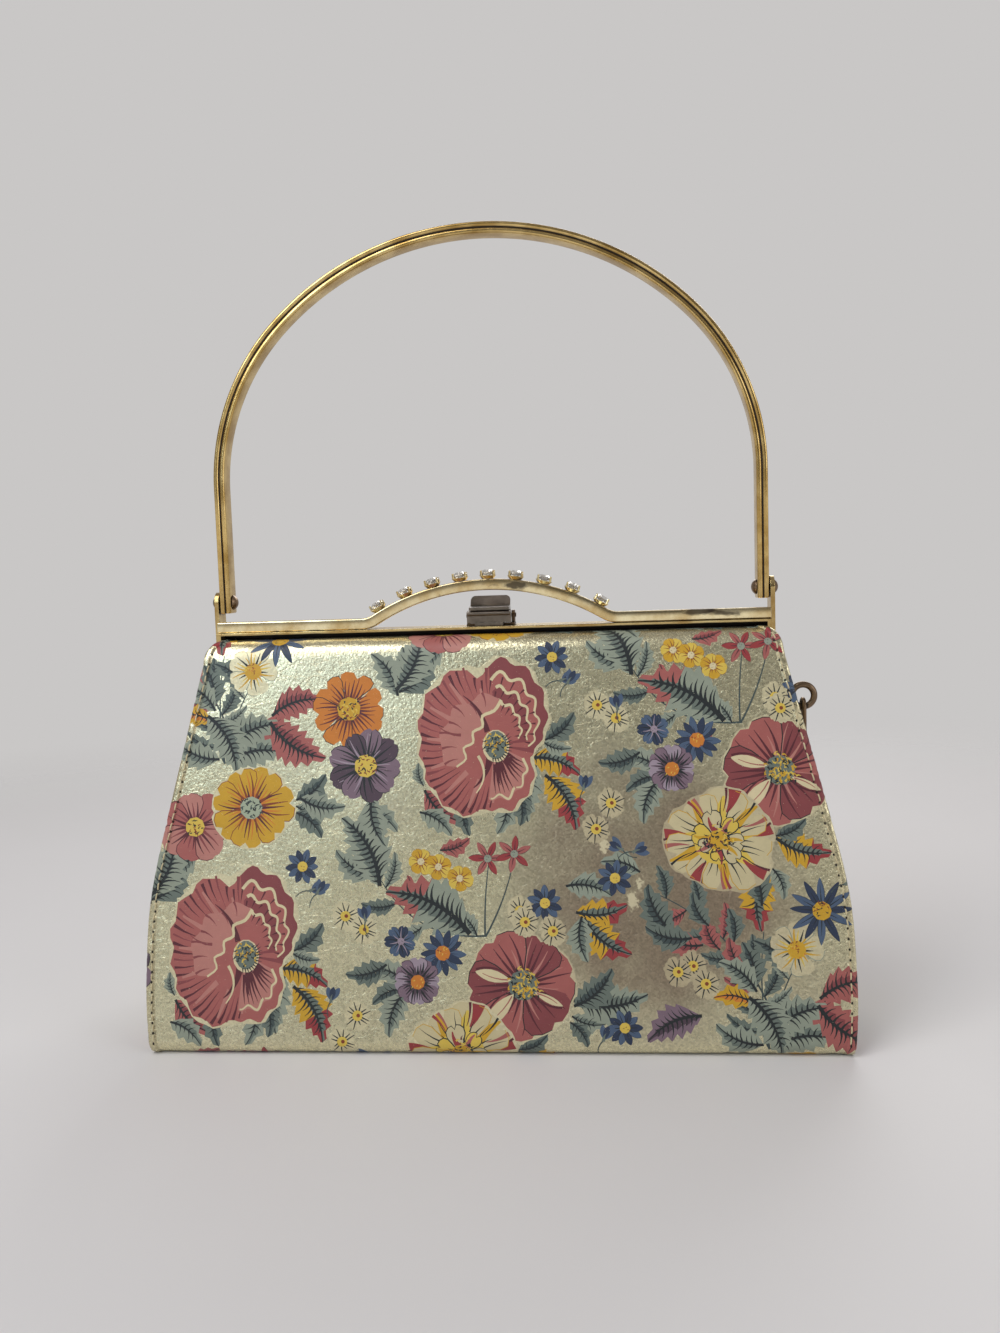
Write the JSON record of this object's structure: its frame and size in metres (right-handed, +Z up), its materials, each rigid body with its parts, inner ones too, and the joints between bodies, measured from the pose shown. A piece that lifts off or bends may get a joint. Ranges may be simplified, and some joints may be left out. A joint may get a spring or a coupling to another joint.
{
  "type": "top-handle frame handbag",
  "caption": "Flared leather handbag on a hinged metal frame with an arched bar of claw-set stones, a thumb latch, a rigid swinging arched handle and a side ring.",
  "frame": {"origin": "middle of the base, on the surface that the bag stands on", "axes": "+Z up, +X to the right seen from the front, front faces -Y"},
  "size_m": [0.2524, 0.0848, 0.297],
  "materials": {
    "printed_leather": "metallic gold foil leather with a matt floral print, lightly scuffed",
    "binding_leather": "narrow printed leather edging with pale stitching",
    "lining_fabric": "plain woven lining",
    "gold_metal": "polished gold plating with tarnish and fine pitting",
    "bronze_metal": "darkened bronze brown metal, worn bright at its edges",
    "spring_steel": "plain spring wire",
    "clear_stone": "clear faceted paste stone"
  },
  "bodies": {
    "bag": {"front_panel": "printed_leather", "back_panel": "printed_leather", "base_panel": "printed_leather", "left_gusset": "printed_leather", "right_gusset": "printed_leather", "front_left_binding": "binding_leather", "front_right_binding": "binding_leather", "back_left_binding": "binding_leather", "back_right_binding": "binding_leather", "lining": "lining_fabric", "rear_jaw": "gold_metal", "left_hinge_rivet": "bronze_metal", "right_hinge_rivet": "bronze_metal", "left_handle_rivet": "bronze_metal", "right_handle_rivet": "bronze_metal", "latch_bracket": "bronze_metal", "latch_pin": "bronze_metal", "latch_spring": "spring_steel", "ring_staple": "bronze_metal", "staple_plate": "bronze_metal"},
    "front_frame": {"front_shoulder": "printed_leather", "front_jaw": "gold_metal", "arch_bar": "gold_metal", "latch_catch": "bronze_metal", "stone_cup_1": "gold_metal", "stone_cup_2": "gold_metal", "stone_cup_3": "gold_metal", "stone_cup_4": "gold_metal", "stone_cup_5": "gold_metal", "stone_cup_6": "gold_metal", "stone_cup_7": "gold_metal", "stone_cup_8": "gold_metal", "stone_cup_9": "gold_metal", "stone_1": "clear_stone", "stone_2": "clear_stone", "stone_3": "clear_stone", "stone_4": "clear_stone", "stone_5": "clear_stone", "stone_6": "clear_stone", "stone_7": "clear_stone", "stone_8": "clear_stone", "stone_9": "clear_stone"},
    "handle": {"handle": "gold_metal"},
    "latch": {"latch_lever": "bronze_metal"},
    "side_ring": {"side_ring": "bronze_metal"}
  },
  "joints": [
    {"name": "handle_swing", "type": "hinge", "parent": "bag", "child": "handle", "pos_m": [0, 0, 0.1613], "axis": [1, 0, 0], "range_deg": [-105, 105]},
    {"name": "frame_open", "type": "hinge", "parent": "bag", "child": "front_frame", "pos_m": [0, 0, 0.129], "axis": [1, 0, 0], "range_deg": [0, 45], "deforming": ["front_panel", "left_gusset", "right_gusset", "front_left_binding", "front_right_binding", "lining"]},
    {"name": "latch_press", "type": "hinge", "parent": "bag", "child": "latch", "pos_m": [0, 0.0042, 0.1534], "axis": [-1, 0, 0], "range_deg": [0, 18], "stiffness_Nm_per_rad": 0.02, "springref_deg": -11.46},
    {"name": "ring_tilt", "type": "hinge", "parent": "bag", "child": "side_ring", "pos_m": [0.1156, 0, 0.1164], "axis": [1, 0, 0], "range_deg": [-70, 70]}
  ]
}
